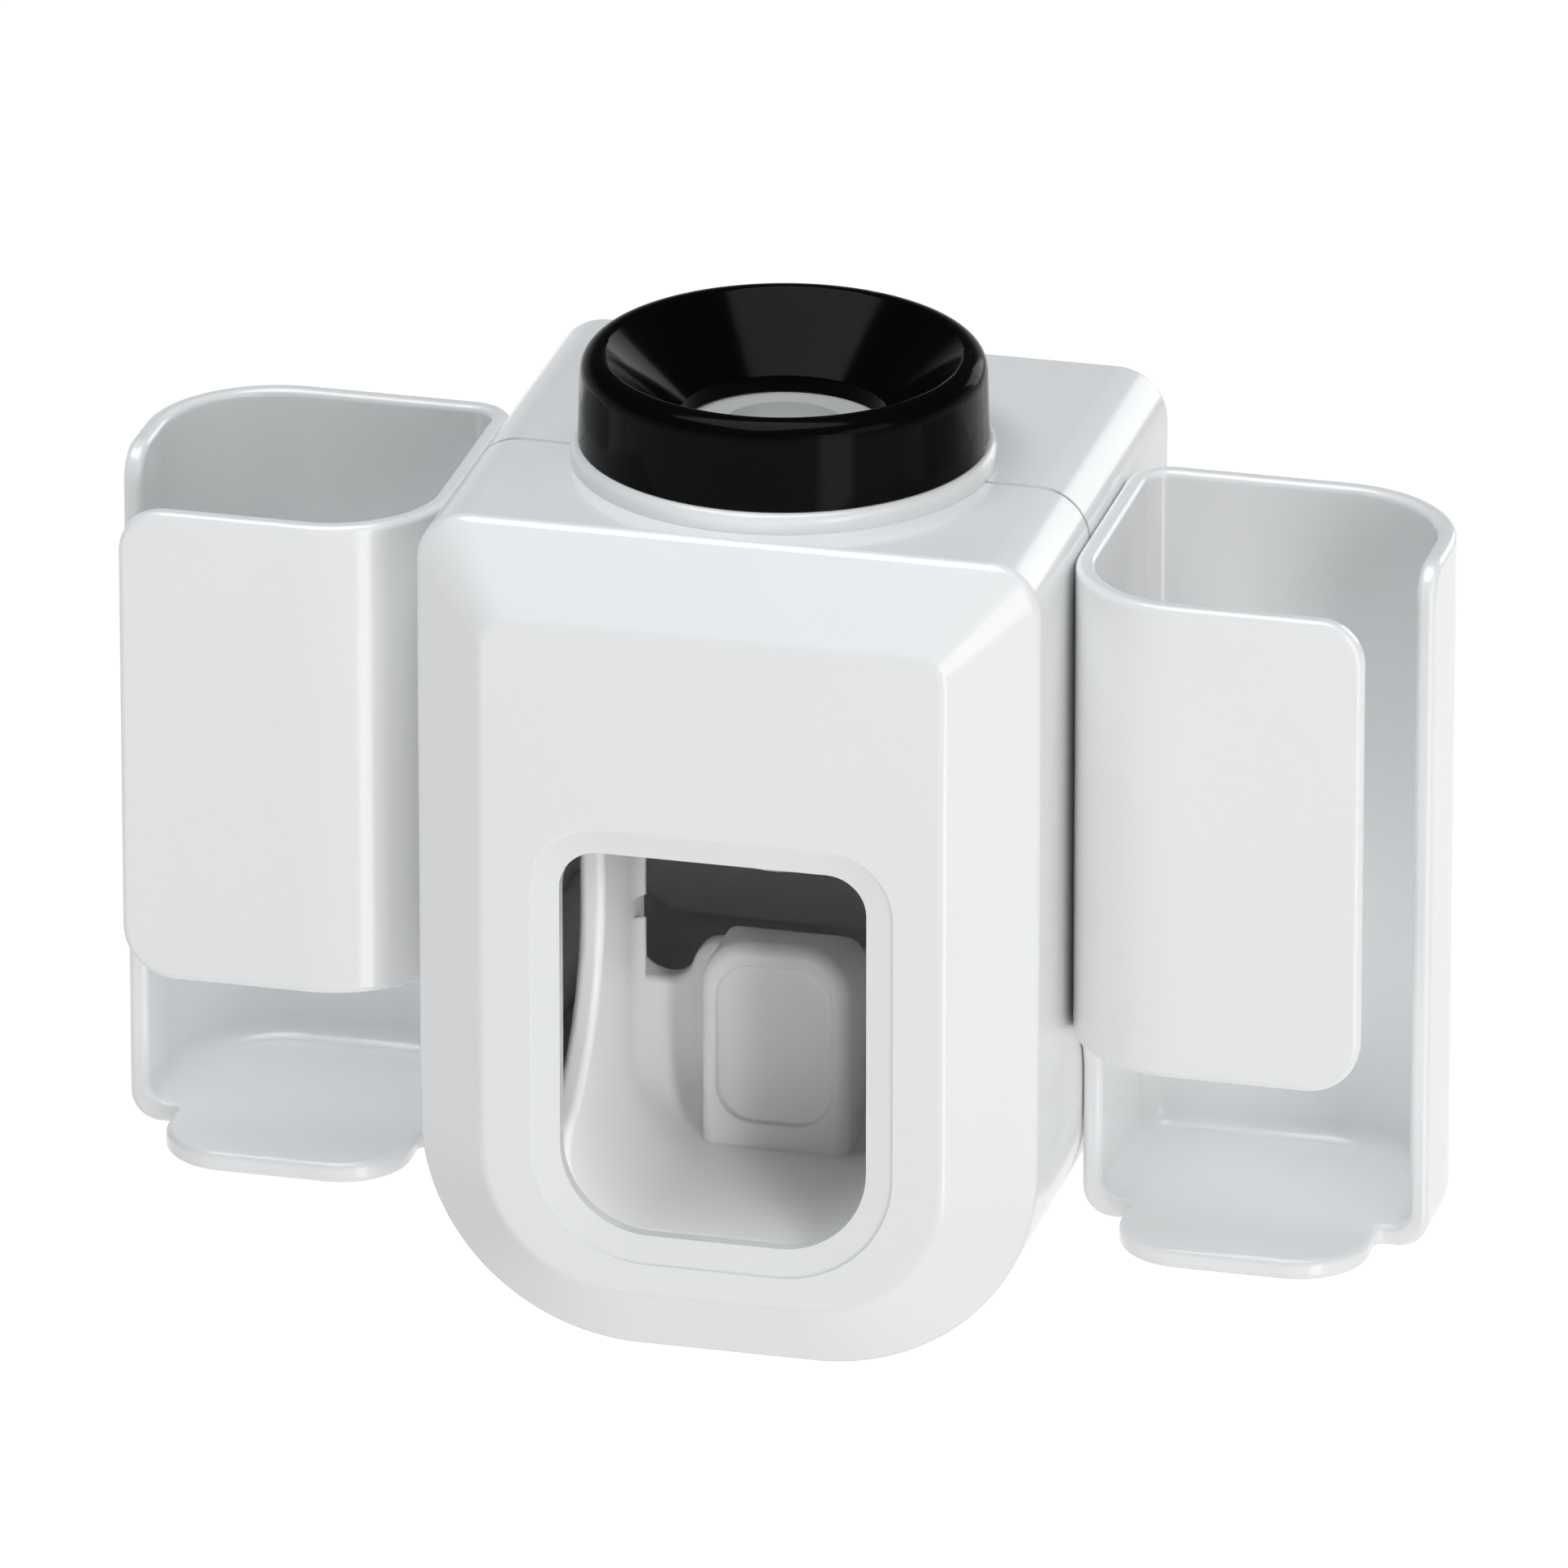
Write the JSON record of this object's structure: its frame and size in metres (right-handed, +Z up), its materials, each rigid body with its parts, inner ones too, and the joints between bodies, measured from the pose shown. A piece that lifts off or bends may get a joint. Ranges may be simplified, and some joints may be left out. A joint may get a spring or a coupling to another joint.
{
  "type": "toothpaste dispenser",
  "caption": "Wall-hung toothpaste dispenser: a tube screws down into a black funnel ring, a push lever works a plunger pump, and a brush holder hangs on each side.",
  "frame": {"origin": "centre of the adhesive face that sticks to the wall", "axes": "+X to the right as seen from the front, +Y into the wall, +Z up"},
  "size_m": [0.1484, 0.0704, 0.109],
  "materials": {
    "casing_white": "white moulded shell, gloss",
    "holder_white": "white moulded holder, gloss",
    "lever_white": "white moulded lever, soft gloss",
    "collar_white": "white moulded pump body",
    "ring_black": "black moulded ring, high gloss",
    "pump_white": "white inner moulding, matt",
    "silicone_white": "white silicone",
    "wire_steel": "drawn spring wire",
    "screw_steel": "plated screws and pins",
    "plate_white": "white moulded wall plate",
    "foam_white": "white foam tape"
  },
  "bodies": {
    "wall_mount": {"adhesive_pad": "foam_white", "wall_plate": "plate_white"},
    "casing": {"rear_casing": "casing_white", "front_casing": "casing_white", "casing_screws": "screw_steel", "pump_barrel": "collar_white", "barrel_cap": "pump_white", "inlet_seal": "silicone_white", "inlet_valve": "silicone_white", "lever_pins": "screw_steel", "return_spring": "wire_steel"},
    "ring": {"tube_ring": "ring_black"},
    "lever": {"push_lever": "lever_white"},
    "piston": {"pump_stem": "pump_white", "piston_head": "pump_white", "piston_seal": "silicone_white", "nozzle_tip": "pump_white", "outlet_valve": "silicone_white"},
    "right_holder": {"right_brush_holder": "holder_white"},
    "left_holder": {"left_brush_holder": "holder_white"}
  },
  "joints": [
    {"name": "casing_lift", "type": "slide", "parent": "wall_mount", "child": "casing", "axis": [0, 0, 1], "range_m": [0, 0.006]},
    {"name": "ring_turn", "type": "hinge", "parent": "casing", "child": "ring", "pos_m": [0, -0.0377, 0.046], "axis": [0, 0, 1], "range_deg": [0, 60]},
    {"name": "lever_swing", "type": "hinge", "parent": "casing", "child": "lever", "pos_m": [0, -0.0532, 0.004], "axis": [1, 0, 0], "range_deg": [0, 20], "stiffness_Nm_per_rad": 0.12, "springref_deg": -16.04},
    {"name": "piston_stroke", "type": "slide", "parent": "casing", "child": "piston", "axis": [0, 0, 1], "range_m": [0, 0.00565], "deforming": ["return_spring"]},
    {"name": "right_holder_lift", "type": "slide", "parent": "casing", "child": "right_holder", "axis": [0, 0, 1], "range_m": [0, 0.006]},
    {"name": "left_holder_lift", "type": "slide", "parent": "casing", "child": "left_holder", "axis": [0, 0, 1], "range_m": [0, 0.006]}
  ],
  "couplings": [
    {"joint": "piston_stroke", "follows": "lever_swing", "m_per_rad": 0.0161}
  ]
}
